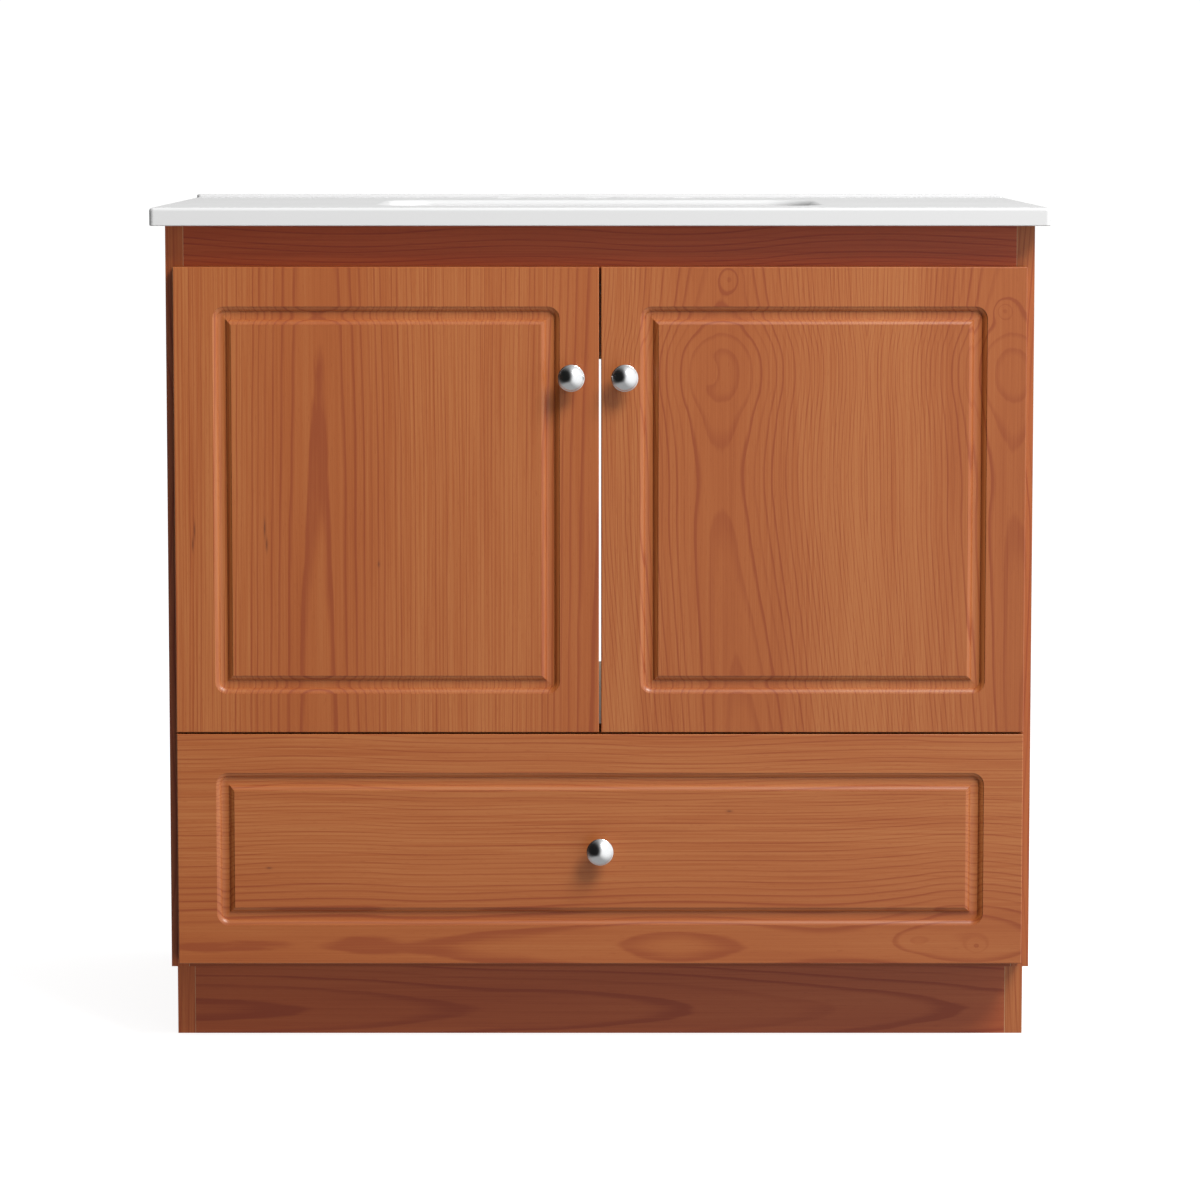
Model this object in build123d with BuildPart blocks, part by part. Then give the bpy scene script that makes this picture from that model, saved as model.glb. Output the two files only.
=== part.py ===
from build123d import *
import os

os.makedirs("parts", exist_ok=True)

# Bathroom vanity cabinet: a case with two hinged doors, one drawer and a white top with its basin.
# Millimetres. X runs to the right, the doors face -Y and Z is up. The origin is on the floor, midway
# between the ends of the top and midway between the drawer knob's nose and the back.

# ---- overall sizes ----
top_width = 939.8
top_depth = 558.8
top_thickness = 19.0
case_width = 914.4
case_height = 876.3
board = 19.0                     # thickness of the case boards, doors and drawer front
thin_board = 12.7                # thickness of the drawer box and the lower back
knob_reach = 27.0
door_setback = 20.0              # from the top's front edge to the face of the doors
bumper_gap = 2.0                 # between the doors' backs and the case

# ---- stations from front to back ----
knob_nose_clear = knob_reach - door_setback
back_y = (top_depth + knob_nose_clear) / 2
top_front_y = back_y - top_depth
door_face_y = top_front_y + door_setback
door_back_y = door_face_y + board
case_front_y = door_back_y + bumper_gap
toe_recess = 63.5
toe_y = case_front_y + toe_recess

# ---- stations across and up ----
case_x = case_width / 2
inner_x = case_x - board
toe_height = 86.1
front_bottom_z = 93.1            # lower edge of the drawer front
drawer_front_height = 246.1
front_gap = 2.0                  # between the drawer front and the doors
door_bottom_z = front_bottom_z + drawer_front_height + front_gap
door_height = 491.6
door_top_z = door_bottom_z + door_height
meeting_gap = 2.2                # between the two doors
front_x = 447.75                 # outer edges of the doors and of the drawer front
deck_top_z = 347.8
top_rail_height = 61.0
back_rail_height = 170.0
slab_top_z = case_height + top_thickness

# ---- routed groove of the doors and the drawer front ----
groove_inset = 41.3              # from a front's edge to the groove's outer rim
groove_width = 19.1
groove_depth = 5.2
trough_half = 4.35               # half the width of the hollow floor
trough_rim_depth = 4.7
wing_foot = 4.8                  # where the rounded wing ends above the trough
wing_foot_depth = 3.5
rim_step = 0.7
wing_bulge = 0.45
groove_corner = 12.7             # radius of the outer rim's corners
cutter_lift = 1.0                # how far the cutters stand above the face
front_edge_round = 1.0

# ---- top and basin ----
basin_width = 470.0
basin_length = 280.0
basin_front_inset = 97.0         # from the top's front edge to the basin
basin_depth = 140.0
basin_corner = 45.0
basin_draft = 5.0                # degrees
basin_wall = 12.0
basin_floor_round = 24.0
basin_rim_round = 6.0
lip_depth = 19.0
lip_height = 3.3
lip_round = 2.0
slab_corner_round = 5.0
slab_top_round = 3.5
slab_bottom_round = 1.2
faucet_hole_radius = 17.5
faucet_spread = 101.6
faucet_from_back = 62.0
drain_radius = 22.5
drain_collar_radius = 38.0
drain_collar_height = 8.0
drain_round = 3.0
faucet_hole_round = 1.2
overflow_radius = 9.0
overflow_drop = 42.0             # below the top's surface
overflow_channel = (30.0, 9.0)   # width and clear depth of the waterway
channel_low = 5.0                # clear height of the waterway under the bowl, above its outside
channel_cover = 7.0              # thickness of the casing
casing_above = 18.0              # above the middle of the overflow hole
channel_skin = 1.0               # left between the bowl's inside and the waterway at the rim
joint_overlap = 1.0              # how far joined solids run into each other
overflow_reach = 4.0             # how far the overflow's bore runs past the wall

# ---- knobs ----
knob_radius = 14.25
knob_foot_radius = 7.4
knob_foot_height = 1.2
knob_neck = (5.4, -6.5)          # outline points: radius, and minus the distance from the face
knob_flare = (6.6, -12.0)
knob_hollow = (9.3, -14.3)
knob_underside = (12.4, -15.2)
knob_rim = (knob_radius, -17.4)
knob_crown = (13.2, -19.6)
knob_hole_depth = 12.0
knob_z = 717.4
knob_left_x = -30.2
knob_right_x = 25.9
drawer_knob_z = front_bottom_z + drawer_front_height / 2
screw_radius = 2.0
screw_head_radius = 4.0
screw_head_height = 2.2
small_screw_head = (3.8, 1.7)
hole_play = 0.25                 # added to the radius of a hole that a screw passes through
knob_screw_engagement = 9.0
bumper_radius = 3.0
bumper_height = 1.7
bumper_x = 60.0                  # from the middle of the case
bumper_from_top = 9.0
bumper_low_gap = 0.3             # between the lower bumper and the deck's upper surface
case_bumper_x = 380.0
front_screw_x = 330.0
front_screw_bite = 12.0
front_screw_low = 45.0           # from the drawer box's lower edge
front_screw_high = 35.0          # from its upper edge

# ---- hinges ----
hinge_inset = 75.0               # from a door's end to the middle of a hinge
hinge_heights = (door_bottom_z + hinge_inset, door_top_z - hinge_inset)
cup_from_edge = 22.5
cup_radius = 17.4
cup_depth = 11.5
cup_wall = 1.2
cup_play = 0.1                   # between a cup and its bore
cup_rim = 1.6
cup_x = front_x - cup_from_edge
flange_thickness = 1.2
flange_width = 14.0
flange_end = 7.0                 # beyond the middle of its screws
flange_corner = 4.0
cup_screw_head = (3.6, 0.8)
cup_screw_reach = 24.0
cup_screw_offset = 5.5           # from the cup's centre towards the middle of the door
cup_screw_x = cup_x - cup_screw_offset
cup_screw_radius = 1.75
cup_screw_length = 10.0
cup_pin_radius = 1.25
cup_pin_half = 12.0
cup_pin_depth = 6.0
cup_pin_shift = -9.0
plate_y = case_front_y + 37.0
plate_thickness = 2.0
plate_half = (9.0, 24.0)
plate_ridge = 6.0
ridge_half = (22.0, 5.5)
plate_screw_reach = 16.0
arm_outer = 6.3                  # clear of the plate's ridge
arm_height = 9.0
arm_half = 8.5
arm_wall = 1.4
arm_front = 1.0                  # from the case's front edge to the arm
arm_tail = 26.0                  # behind the middle of its plate
nose_root = 6.0
nose_inset = 1.0
nose_depth = 6.0                 # how far the arm reaches into the cup
nose_half = 6.0

# ---- drawer ----
slide_thickness = 12.7
slide_length = 457.2
slide_z = 200.0
slide_setback = 3.0
sheet = 1.2                      # steel of the slides
outer_lip = 8.6                  # reach of the cabinet member's flanges from the side panel
outer_half = 22.8
middle_web = 4.4
middle_lip = 10.6
middle_half = 18.2
middle_start = 3.0
middle_short = 25.0              # the middle member ends this far before the cabinet's
inner_lip = 5.2
inner_half = 13.6
inner_start = 6.0
slide_screw_offsets = (35.0, 230.0, 420.0)
box_x = inner_x - slide_thickness
box_length = 457.2
box_bottom_z = 125.0
box_top_z = 303.0
box_back_y = door_back_y + box_length
drawer_floor_z = 137.0
drawer_floor_thickness = 6.0
floor_groove = 6.0

sides = ((-1, "left"), (1, "right"))


def span(one_limit, other_limit):
    """Two limits in rising order."""
    return min(one_limit, other_limit), max(one_limit, other_limit)


def slab(x_span, y_span, z_span, mode=Mode.ADD):
    """A square-edged block between two limits on each axis."""
    with BuildSketch(Plane.XY.offset(z_span[0])) as footprint:
        with Locations((sum(x_span) / 2, sum(y_span) / 2)):
            Rectangle(x_span[1] - x_span[0], y_span[1] - y_span[0])
    extrude(footprint.sketch, amount=z_span[1] - z_span[0], mode=mode)


def rod(origin, direction, radius, length, mode=Mode.ADD):
    """A round bar from a point along a direction."""
    with BuildSketch(Plane(origin=origin, z_dir=direction)) as section:
        Circle(radius)
    extrude(section.sketch, amount=length, mode=mode)


def screw(origin, direction, length, head=(screw_head_radius, screw_head_height), shank=screw_radius):
    """A pan-head screw with a cross slot: its head seats at origin and its shank runs along direction."""
    head_radius, head_height = head
    axis = Vector(*direction)
    seat = Vector(*origin)
    rod(seat, axis, shank, length)
    rod(seat, axis * -1, head_radius, head_height)
    crown = Plane(origin=seat - axis * head_height, z_dir=axis * -1)
    with BuildSketch(crown) as cross:
        Rectangle(head_radius * 1.1, head_radius * 0.25)
        Rectangle(head_radius * 0.25, head_radius * 1.1)
    extrude(cross.sketch, amount=-head_height * 0.5, mode=Mode.SUBTRACT)


def groove_half(section_plane, side):
    """Half of the groove's section, from its centreline to one rim: side 1 is the raised panel's."""
    rim = side * groove_width / 2
    with BuildSketch(section_plane) as section:
        with BuildLine():
            TangentArc((0, -groove_depth), (side * trough_half, -trough_rim_depth), tangent=(side, 0))
            Line((side * trough_half, -trough_rim_depth), (side * wing_foot, -wing_foot_depth))
            SagittaArc((side * wing_foot, -wing_foot_depth), (rim, -rim_step), side * wing_bulge)
            Polyline((rim, -rim_step), (rim, cutter_lift), (0, cutter_lift), (0, -groove_depth))
        make_face()
    return section.sketch


def cut_groove(face, width, height):
    """Rout the frame-shaped groove into a front whose face is centred on the plane `face`.

    The outer rim turns on round corners, the raised panel's corners are mitred."""
    bend = groove_corner - groove_width / 2
    half_x = width / 2 - groove_inset - groove_width / 2
    half_z = height / 2 - groove_inset - groove_width / 2
    for turn in range(4):
        along, across = (half_x, half_z) if turn % 2 == 0 else (half_z, half_x)
        run = face.x_dir.rotate(Axis((0, 0, 0), face.z_dir), 90 * turn)
        side = Plane(origin=face.origin, x_dir=run, z_dir=face.z_dir)
        corner = side.from_local_coords(Vector(-along, -across, 0))
        inner_half = groove_half(Plane(origin=corner, x_dir=side.y_dir, z_dir=side.x_dir), 1)
        extrude(inner_half, amount=2 * along, mode=Mode.SUBTRACT)
        start = corner + side.x_dir * bend
        outer_half = groove_half(Plane(origin=start, x_dir=side.y_dir, z_dir=side.x_dir), -1)
        extrude(outer_half, amount=2 * (along - bend), mode=Mode.SUBTRACT)
        pivot = Axis(start + side.y_dir * bend, side.z_dir * -1)
        revolve(outer_half, axis=pivot, revolution_arc=90, mode=Mode.SUBTRACT)


def front_blank(x_span, z_span):
    """The blank of a door or drawer front, with its front edges eased."""
    slab(x_span, (door_face_y, door_back_y), z_span)
    fillet(faces().sort_by(Axis.Y)[0].edges(), front_edge_round)
    face = Plane(origin=(sum(x_span) / 2, door_face_y, sum(z_span) / 2), x_dir=(1, 0, 0), z_dir=(0, -1, 0))
    cut_groove(face, x_span[1] - x_span[0], z_span[1] - z_span[0])


def knob(x, z):
    """A turned mushroom knob standing on the door's face, with a blind tapped hole from behind."""
    foot = (knob_foot_radius, -knob_foot_height)
    crown_radius, crown_start = knob_crown
    dome_rise = knob_reach + crown_start
    dome_radius = (crown_radius ** 2 + dome_rise ** 2) / (2 * dome_rise)
    dome_middle = (dome_radius / 2, dome_radius * (1 - 0.75 ** 0.5) - knob_reach)
    with BuildSketch(Plane(origin=(x, door_face_y, z), x_dir=(1, 0, 0), z_dir=(0, 0, 1))) as section:
        with BuildLine():
            Polyline((0, 0), (knob_foot_radius, 0), foot)
            ThreePointArc(foot, knob_neck, knob_flare)
            ThreePointArc(knob_flare, knob_hollow, knob_underside)
            ThreePointArc(knob_underside, knob_rim, knob_crown)
            ThreePointArc(knob_crown, dome_middle, (0, -knob_reach))
            Line((0, -knob_reach), (0, 0))
        make_face()
    revolve(section.sketch, axis=Axis((x, door_face_y, z), (0, 1, 0)))
    rod((x, door_face_y, z), (0, -1, 0), screw_radius, knob_hole_depth, mode=Mode.SUBTRACT)


# ================= case =================

for side, name in sides:
    with BuildPart() as side_panel:
        slab(span(side * inner_x, side * case_x), (case_front_y, back_y), (0, case_height))
        slab(span(side * inner_x, side * case_x), (case_front_y, toe_y), (0, toe_height), mode=Mode.SUBTRACT)
    side_panel.part.label = f"side_panel_{name}"
    export_step(side_panel.part, f"parts/side_panel_{name}.step")

with BuildPart() as front_top_rail:
    slab((-inner_x, inner_x), (case_front_y, case_front_y + board),
         (case_height - top_rail_height, case_height))
front_top_rail.part.label = "front_top_rail"
export_step(front_top_rail.part, "parts/front_top_rail.step")

wall_screw_x = 203.2
wall_screw_drop = 50.0
wall_screw_z = case_height - wall_screw_drop
wall_screw_radius = 2.75
with BuildPart() as back_top_rail:
    slab((-inner_x, inner_x), (back_y - board, back_y), (case_height - back_rail_height, case_height))
    for x in (-wall_screw_x, wall_screw_x):
        rod((x, back_y, wall_screw_z), (0, -1, 0), wall_screw_radius, board, mode=Mode.SUBTRACT)
back_top_rail.part.label = "back_top_rail"
export_step(back_top_rail.part, "parts/back_top_rail.step")

with BuildPart() as deck_panel:
    slab((-inner_x, inner_x), (case_front_y, back_y), (deck_top_z - board, deck_top_z))
deck_panel.part.label = "deck_panel"
export_step(deck_panel.part, "parts/deck_panel.step")

with BuildPart() as bottom_panel:
    slab((-inner_x, inner_x), (case_front_y, back_y), (toe_height, toe_height + board))
bottom_panel.part.label = "bottom_panel"
export_step(bottom_panel.part, "parts/bottom_panel.step")

with BuildPart() as lower_back_panel:
    slab((-inner_x, inner_x), (back_y - thin_board, back_y), (toe_height + board, deck_top_z - board))
lower_back_panel.part.label = "lower_back_panel"
export_step(lower_back_panel.part, "parts/lower_back_panel.step")

with BuildPart() as toe_kick:
    slab((-inner_x, inner_x), (toe_y, toe_y + board), (0, toe_height))
toe_kick.part.label = "toe_kick"
export_step(toe_kick.part, "parts/toe_kick.step")

with BuildPart() as rear_plinth:
    slab((-inner_x, inner_x), (back_y - board, back_y), (0, toe_height))
rear_plinth.part.label = "rear_plinth"
export_step(rear_plinth.part, "parts/rear_plinth.step")

with BuildPart() as plinth_rib:
    slab((-board / 2, board / 2), (toe_y + board, back_y - board), (0, toe_height))
plinth_rib.part.label = "plinth_rib"
export_step(plinth_rib.part, "parts/plinth_rib.step")

# Triangular corner braces that tie the rails to the sides and carry the top.
brace_leg = 70.0
brace_thickness = 16.0
brace_screw_share = 0.3          # where a brace's screw stands, along both legs
brace_screw_short = 0.5
brace_front_y = case_front_y + board
brace_back_y = back_y - board
brace_corners = [(side * inner_x, y, -side, turn)
                 for side, _ in sides for y, turn in ((brace_front_y, 1), (brace_back_y, -1))]
with BuildPart() as corner_braces:
    for x, y, inward, turn in brace_corners:
        with BuildSketch(Plane.XY.offset(case_height - brace_thickness)):
            with BuildLine():
                Polyline((x, y), (x + inward * brace_leg, y), (x, y + turn * brace_leg), close=True)
            make_face()
        extrude(amount=brace_thickness)
        in_from_corner = brace_leg * brace_screw_share
        rod((x + inward * in_from_corner, y + turn * in_from_corner, case_height), (0, 0, -1),
            screw_radius, brace_thickness, mode=Mode.SUBTRACT)
corner_braces.part.label = "corner_braces"
export_step(corner_braces.part, "parts/corner_braces.step")

with BuildPart() as brace_screws:
    for x, y, inward, turn in brace_corners:
        in_from_corner = brace_leg * brace_screw_share
        seat = (x + inward * in_from_corner, y + turn * in_from_corner, case_height - brace_thickness)
        screw(seat, (0, 0, 1), brace_thickness - brace_screw_short)
brace_screws.part.label = "brace_screws"
export_step(brace_screws.part, "parts/brace_screws.step")

# ================= top with basin =================

basin_y = top_front_y + basin_front_inset + basin_length / 2
basin_floor_z = slab_top_z - basin_depth
bowl_bottom_z = basin_floor_z - basin_wall
overflow_z = slab_top_z - overflow_drop
channel_width, channel_depth = overflow_channel
front_wall_y = basin_y - basin_length / 2
channel_back_y = front_wall_y - channel_skin
channel_front_y = channel_back_y - channel_depth

faucet_y = back_y - faucet_from_back

with BuildPart() as countertop_basin:
    slab((-top_width / 2, top_width / 2), (top_front_y, back_y), (case_height, slab_top_z))
    fillet(countertop_basin.edges().filter_by(Axis.Z), slab_corner_round)
    fillet(countertop_basin.faces().sort_by(Axis.Z)[-1].edges(), slab_top_round)
    fillet(countertop_basin.faces().sort_by(Axis.Z)[0].edges(), slab_bottom_round)
    # outside of the bowl, and the collar that carries the waste
    with BuildSketch(Plane.XY.offset(case_height + slab_bottom_round)):
        with Locations((0, basin_y)):
            RectangleRounded(basin_width + 2 * basin_wall, basin_length + 2 * basin_wall,
                             basin_corner + basin_wall)
    extrude(amount=bowl_bottom_z - case_height - slab_bottom_round, taper=basin_draft)
    fillet(countertop_basin.faces().sort_by(Axis.Z)[0].edges(), basin_floor_round + basin_wall / 2)
    rod((0, basin_y, basin_floor_z - joint_overlap), (0, 0, -1),
        drain_collar_radius, basin_wall - joint_overlap + drain_collar_height)
    # overflow casing: down the front of the bowl and back under it to the collar
    slab((-channel_width / 2 - channel_cover, channel_width / 2 + channel_cover),
         (channel_front_y - channel_cover, basin_y),
         (bowl_bottom_z - channel_cover + joint_overlap, overflow_z + casing_above))
    # inside of the bowl
    with BuildSketch(Plane.XY.offset(slab_top_z)):
        with Locations((0, basin_y)):
            RectangleRounded(basin_width, basin_length, basin_corner)
    extrude(amount=-basin_depth, taper=basin_draft, mode=Mode.SUBTRACT)
    floor_edges = countertop_basin.edges().filter_by_position(Axis.Z, basin_floor_z, basin_floor_z)
    fillet(floor_edges, basin_floor_round)
    rim = [edge for edge in countertop_basin.edges().filter_by_position(Axis.Z, slab_top_z, slab_top_z)
           if abs(edge.center().X) < basin_width / 2 + joint_overlap
           and abs(edge.center().Y - basin_y) < basin_length / 2 + joint_overlap]
    fillet(rim, basin_rim_round)
    # rear lip, rounded at its ends and along its top
    with BuildSketch(Plane.XY.offset(slab_top_z - slab_top_round - joint_overlap)):
        with Locations((0, back_y - lip_depth / 2)):
            RectangleRounded(top_width, lip_depth, slab_corner_round)
    extrude(amount=slab_top_round + joint_overlap + lip_height)
    fillet(countertop_basin.faces().sort_by(Axis.Z)[-1].edges(), lip_round)
    # faucet holes
    for x in (-faucet_spread, 0, faucet_spread):
        rod((x, faucet_y, slab_top_z), (0, 0, -1), faucet_hole_radius, top_thickness, mode=Mode.SUBTRACT)
    # waste hole, with an eased mouth, and the overflow's waterway
    rod((0, basin_y, basin_floor_z), (0, 0, -1),
        drain_radius, basin_wall + drain_collar_height, mode=Mode.SUBTRACT)
    mouths = [edge for edge in countertop_basin.edges().filter_by(GeomType.CIRCLE)
              if abs(edge.center().Z - basin_floor_z) < 0.1 or abs(edge.center().Z - slab_top_z) < 0.1]
    fillet([edge for edge in mouths if abs(edge.radius - drain_radius) < 0.1], drain_round)
    fillet([edge for edge in mouths if abs(edge.radius - faucet_hole_radius) < 0.1], faucet_hole_round)
    slab((-channel_width / 2, channel_width / 2), (channel_front_y, channel_back_y),
         (bowl_bottom_z - joint_overlap, overflow_z + overflow_radius), mode=Mode.SUBTRACT)
    slab((-channel_width / 2, channel_width / 2), (channel_front_y, basin_y),
         (bowl_bottom_z - joint_overlap, bowl_bottom_z + channel_low), mode=Mode.SUBTRACT)
    rod((0, front_wall_y + basin_wall, overflow_z), (0, -1, 0),
        overflow_radius, basin_wall + overflow_reach, mode=Mode.SUBTRACT)
countertop_basin.part.label = "countertop_basin"
export_step(countertop_basin.part, "parts/countertop_basin.step")

# ================= doors =================

for side, name in sides:
    knob_x = knob_left_x if side < 0 else knob_right_x
    with BuildPart() as door:
        front_blank(span(side * meeting_gap / 2, side * front_x), (door_bottom_z, door_top_z))
        rod((knob_x, door_back_y, knob_z), (0, -1, 0), screw_radius + hole_play, board, mode=Mode.SUBTRACT)
        for z in hinge_heights:
            rod((side * cup_x, door_back_y, z), (0, -1, 0),
                cup_radius + cup_play, cup_depth + cup_play, mode=Mode.SUBTRACT)
            for end in (-1, 1):
                rod((side * cup_screw_x, door_back_y, z + end * cup_screw_reach), (0, -1, 0),
                    cup_screw_radius, cup_screw_length, mode=Mode.SUBTRACT)
    door.part.label = f"door_{name}"
    export_step(door.part, f"parts/door_{name}.step")

    with BuildPart() as door_knob:
        knob(knob_x, knob_z)
    door_knob.part.label = f"knob_{name}"
    export_step(door_knob.part, f"parts/knob_{name}.step")

    with BuildPart() as knob_screw:
        screw((knob_x, door_back_y, knob_z), (0, -1, 0), board + knob_screw_engagement)
    knob_screw.part.label = f"knob_screw_{name}"
    export_step(knob_screw.part, f"parts/knob_screw_{name}.step")

    # Two cups let into the door's back, each with its screwed flange.
    with BuildPart() as hinge_cups:
        for z in hinge_heights:
            flange_plane = Plane(origin=(side * cup_x, door_back_y, z), x_dir=(-side, 0, 0), z_dir=(0, 1, 0))
            with BuildSketch(flange_plane) as flange:
                Circle(cup_radius + cup_rim)
                with Locations((cup_screw_offset, 0)):
                    RectangleRounded(flange_width, 2 * (cup_screw_reach + flange_end), flange_corner)
            extrude(flange.sketch, amount=flange_thickness)
            rod((side * cup_x, door_back_y, z), (0, -1, 0), cup_radius, cup_depth)
            rod((side * cup_x, door_back_y + flange_thickness, z), (0, -1, 0),
                cup_radius - cup_wall, cup_depth + flange_thickness - cup_wall, mode=Mode.SUBTRACT)
            for end in (-1, 1):
                rod((side * cup_screw_x, door_back_y, z + end * cup_screw_reach), (0, 1, 0),
                    cup_screw_radius, flange_thickness, mode=Mode.SUBTRACT)
            # the pivot pin that crosses the cup
            rod((side * (cup_x + cup_pin_shift), door_back_y - cup_pin_depth, z - cup_pin_half), (0, 0, 1),
                cup_pin_radius, 2 * cup_pin_half)
    hinge_cups.part.label = f"hinge_cups_{name}"
    export_step(hinge_cups.part, f"parts/hinge_cups_{name}.step")

    with BuildPart() as cup_screws:
        for z in hinge_heights:
            for end in (-1, 1):
                seat = (side * cup_screw_x, door_back_y + flange_thickness, z + end * cup_screw_reach)
                screw(seat, (0, -1, 0), cup_screw_length, head=cup_screw_head, shank=cup_screw_radius)
    cup_screws.part.label = f"cup_screws_{name}"
    export_step(cup_screws.part, f"parts/cup_screws_{name}.step")

    with BuildPart() as bumpers:
        for z in (deck_top_z - bumper_radius - bumper_low_gap, door_top_z - bumper_from_top):
            rod((side * bumper_x, door_back_y, z), (0, 1, 0), bumper_radius, bumper_height)
    bumpers.part.label = f"door_bumpers_{name}"
    export_step(bumpers.part, f"parts/door_bumpers_{name}.step")

    # The hinges' fixed side: a plate screwed to the side panel, and the arm that reaches to the cup.
    with BuildPart() as hinge_plates:
        for z in hinge_heights:
            for reach, (half_y, half_z) in ((plate_thickness, plate_half), (plate_ridge, ridge_half)):
                slab(span(side * inner_x, side * (inner_x - reach)),
                     (plate_y - half_y, plate_y + half_y), (z - half_z, z + half_z))
            for end in (-1, 1):
                rod((side * inner_x, plate_y, z + end * plate_screw_reach), (-side, 0, 0),
                    screw_radius, plate_thickness, mode=Mode.SUBTRACT)
    hinge_plates.part.label = f"hinge_plates_{name}"
    export_step(hinge_plates.part, f"parts/hinge_plates_{name}.step")

    with BuildPart() as hinge_arms:
        for z in hinge_heights:
            arm_x = span(side * (inner_x - arm_outer), side * (inner_x - arm_outer - arm_height))
            slab(arm_x, (case_front_y + arm_front, plate_y + arm_tail), (z - arm_half, z + arm_half))
            under = span(side * (inner_x - arm_outer), side * (inner_x - arm_outer - arm_height + arm_wall))
            slab(under, (case_front_y + nose_root, plate_y + arm_tail),
                 (z - arm_half + arm_wall, z + arm_half - arm_wall), mode=Mode.SUBTRACT)
            nose_x = span(side * (inner_x - arm_outer - nose_inset),
                          side * (inner_x - arm_outer - arm_height))
            slab(nose_x, (door_back_y - nose_depth, case_front_y + nose_root), (z - nose_half, z + nose_half))
    hinge_arms.part.label = f"hinge_arms_{name}"
    export_step(hinge_arms.part, f"parts/hinge_arms_{name}.step")

    with BuildPart() as plate_screws:
        for z in hinge_heights:
            for end in (-1, 1):
                seat = (side * (inner_x - plate_thickness), plate_y, z + end * plate_screw_reach)
                screw(seat, (side, 0, 0), plate_thickness, head=small_screw_head)
    plate_screws.part.label = f"plate_screws_{name}"
    export_step(plate_screws.part, f"parts/plate_screws_{name}.step")

# ================= drawer =================

box_front_y = door_back_y
front_screws = [(side * front_screw_x, z) for side, _ in sides
                for z in (box_bottom_z + front_screw_low, box_top_z - front_screw_high)]
with BuildPart() as drawer_front:
    front_blank((-front_x, front_x), (front_bottom_z, front_bottom_z + drawer_front_height))
    rod((0, door_back_y, drawer_knob_z), (0, -1, 0), screw_radius + hole_play, board, mode=Mode.SUBTRACT)
    for x, z in front_screws:
        rod((x, door_back_y, z), (0, -1, 0), screw_radius, front_screw_bite, mode=Mode.SUBTRACT)
drawer_front.part.label = "drawer_front"
export_step(drawer_front.part, "parts/drawer_front.step")

with BuildPart() as drawer_knob:
    knob(0, drawer_knob_z)
drawer_knob.part.label = "knob_drawer"
export_step(drawer_knob.part, "parts/knob_drawer.step")

with BuildPart() as drawer_knob_screw:
    screw((0, box_front_y + thin_board, drawer_knob_z), (0, -1, 0),
          thin_board + board + knob_screw_engagement)
drawer_knob_screw.part.label = "knob_screw_drawer"
export_step(drawer_knob_screw.part, "parts/knob_screw_drawer.step")

floor_span = (drawer_floor_z, drawer_floor_z + drawer_floor_thickness)
floor_x = box_x - thin_board + floor_groove
floor_y = (box_front_y + thin_board - floor_groove, box_back_y - thin_board + floor_groove)
for side, name in sides:
    with BuildPart() as drawer_side:
        slab(span(side * box_x, side * (box_x - thin_board)),
             (box_front_y, box_back_y), (box_bottom_z, box_top_z))
        slab(span(side * floor_x, side * (box_x - thin_board)), floor_y, floor_span, mode=Mode.SUBTRACT)
    drawer_side.part.label = f"drawer_side_{name}"
    export_step(drawer_side.part, f"parts/drawer_side_{name}.step")

end_x = box_x - thin_board
with BuildPart() as drawer_box_front:
    slab((-end_x, end_x), (box_front_y, box_front_y + thin_board), (box_bottom_z, box_top_z))
    slab((-end_x, end_x), (floor_y[0], box_front_y + thin_board), floor_span, mode=Mode.SUBTRACT)
    rod((0, box_front_y, drawer_knob_z), (0, 1, 0), screw_radius + hole_play, thin_board, mode=Mode.SUBTRACT)
    for x, z in front_screws:
        rod((x, box_front_y, z), (0, 1, 0), screw_radius + hole_play, thin_board, mode=Mode.SUBTRACT)
drawer_box_front.part.label = "drawer_box_front"
export_step(drawer_box_front.part, "parts/drawer_box_front.step")

with BuildPart() as drawer_box_back:
    slab((-end_x, end_x), (box_back_y - thin_board, box_back_y), (box_bottom_z, box_top_z))
    slab((-end_x, end_x), (box_back_y - thin_board, floor_y[1]), floor_span, mode=Mode.SUBTRACT)
drawer_box_back.part.label = "drawer_box_back"
export_step(drawer_box_back.part, "parts/drawer_box_back.step")

with BuildPart() as drawer_bottom:
    slab((-floor_x, floor_x), floor_y, floor_span)
drawer_bottom.part.label = "drawer_bottom"
export_step(drawer_bottom.part, "parts/drawer_bottom.step")

with BuildPart() as drawer_front_screws:
    for x, z in front_screws:
        screw((x, box_front_y + thin_board, z), (0, -1, 0), thin_board + front_screw_bite)
drawer_front_screws.part.label = "drawer_front_screws"
export_step(drawer_front_screws.part, "parts/drawer_front_screws.step")

with BuildPart() as drawer_bumpers:
    for side, _ in sides:
        rod((side * case_bumper_x, door_back_y, toe_height + board / 2 + bumper_gap), (0, 1, 0),
            bumper_radius, bumper_height)
drawer_bumpers.part.label = "drawer_bumpers"
export_step(drawer_bumpers.part, "parts/drawer_bumpers.step")


def channel(side, wall_x, lip_x, half_height, y_span):
    """A slide member: a steel channel with its web at wall_x and its flanges reaching to lip_x."""
    web_x = wall_x + sheet * (1 if lip_x > wall_x else -1)
    slab(span(side * wall_x, side * web_x), y_span, (slide_z - half_height, slide_z + half_height))
    for low in (slide_z - half_height, slide_z + half_height - sheet):
        slab(span(side * web_x, side * lip_x), y_span, (low, low + sheet))


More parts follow.
